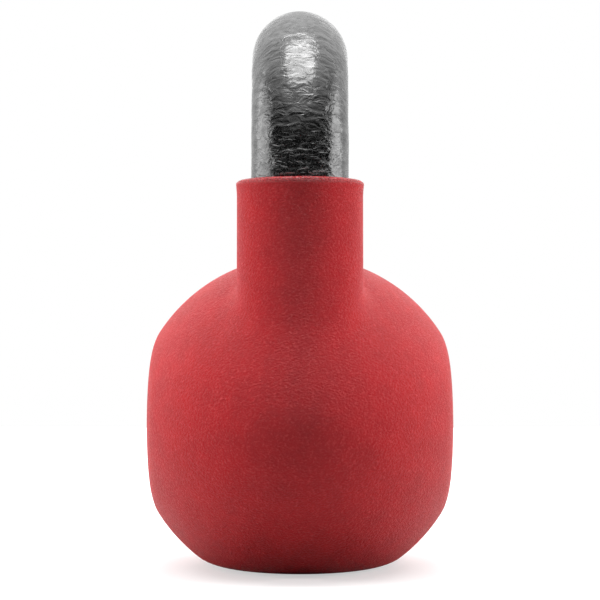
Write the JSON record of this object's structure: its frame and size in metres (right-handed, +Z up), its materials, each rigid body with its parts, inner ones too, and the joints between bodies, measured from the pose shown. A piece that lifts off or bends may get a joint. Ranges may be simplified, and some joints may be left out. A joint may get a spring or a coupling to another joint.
{
  "type": "kettlebell",
  "caption": "Hand weight: a cast core flat at front, back and base, under a moulded rubber cover whose sleeves rise round the legs of a thick bare steel arch handle.",
  "frame": {"origin": "on the floor, under the middle of the flat base", "axes": "+X along the grip, -Y towards the flat front face, +Z up"},
  "size_m": [0.188, 0.1118, 0.2053],
  "materials": {
    "cover": "moulded red rubber, soft sheen, fine leathery grain",
    "core": "rough dark casting",
    "handle": "dark bright metal with fine irregular ripples round the bar",
    "screw": "black oxide",
    "washer": "zinc plated",
    "plug": "matt black"
  },
  "bodies": {
    "root": {"red_cover": "cover", "iron_core": "core", "handle": "handle", "leg_bolt_left": "screw", "leg_bolt_right": "screw", "lock_washer_left": "washer", "lock_washer_right": "washer", "base_plug": "plug"}
  },
  "joints": []
}
